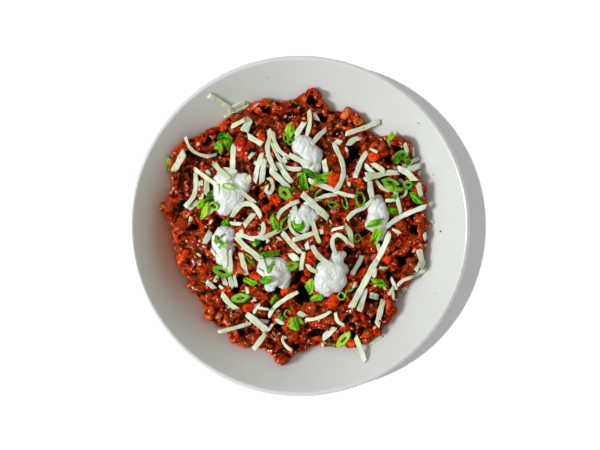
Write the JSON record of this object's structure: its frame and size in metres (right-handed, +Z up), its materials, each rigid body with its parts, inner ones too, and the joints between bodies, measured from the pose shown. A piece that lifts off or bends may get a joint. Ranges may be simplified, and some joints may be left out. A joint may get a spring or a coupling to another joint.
{
  "type": "chili con carne in a bowl",
  "caption": "Shallow white coupe bowl of chili con carne, heaped to near the rim and topped with spoonfuls of sour cream, cheese shreds and spring onion.",
  "frame": {"origin": "middle of the foot ring, in the plane where the bowl stands on the table", "axes": "+Z up, through the middle of the bowl; +Y towards the back of the table, which is the top of a view from above; +X to the right"},
  "size_m": [0.21, 0.21, 0.05],
  "materials": {
    "bowl_glaze": "smooth white glaze, softly glossy",
    "chili": "minced beef and beans in a glossy red-brown tomato sauce",
    "cream": "thick white sour cream with soft folds",
    "cheese": "pale grated cheese, slightly waxy",
    "spring_onion": "sliced spring onion, dark green outside and pale green inside",
    "bean": "cooked bean skins wet with sauce",
    "tomato": "cooked tomato and pepper, bright red and wet"
  },
  "bodies": {
    "root": {"bowl": "bowl_glaze", "chili": "chili", "cream_back": "cream", "cream_left": "cream", "cream_left_front": "cream", "cream_front": "cream", "cream_right_front": "cream", "cream_middle": "cream", "cream_right": "cream"}
  },
  "joints": []
}
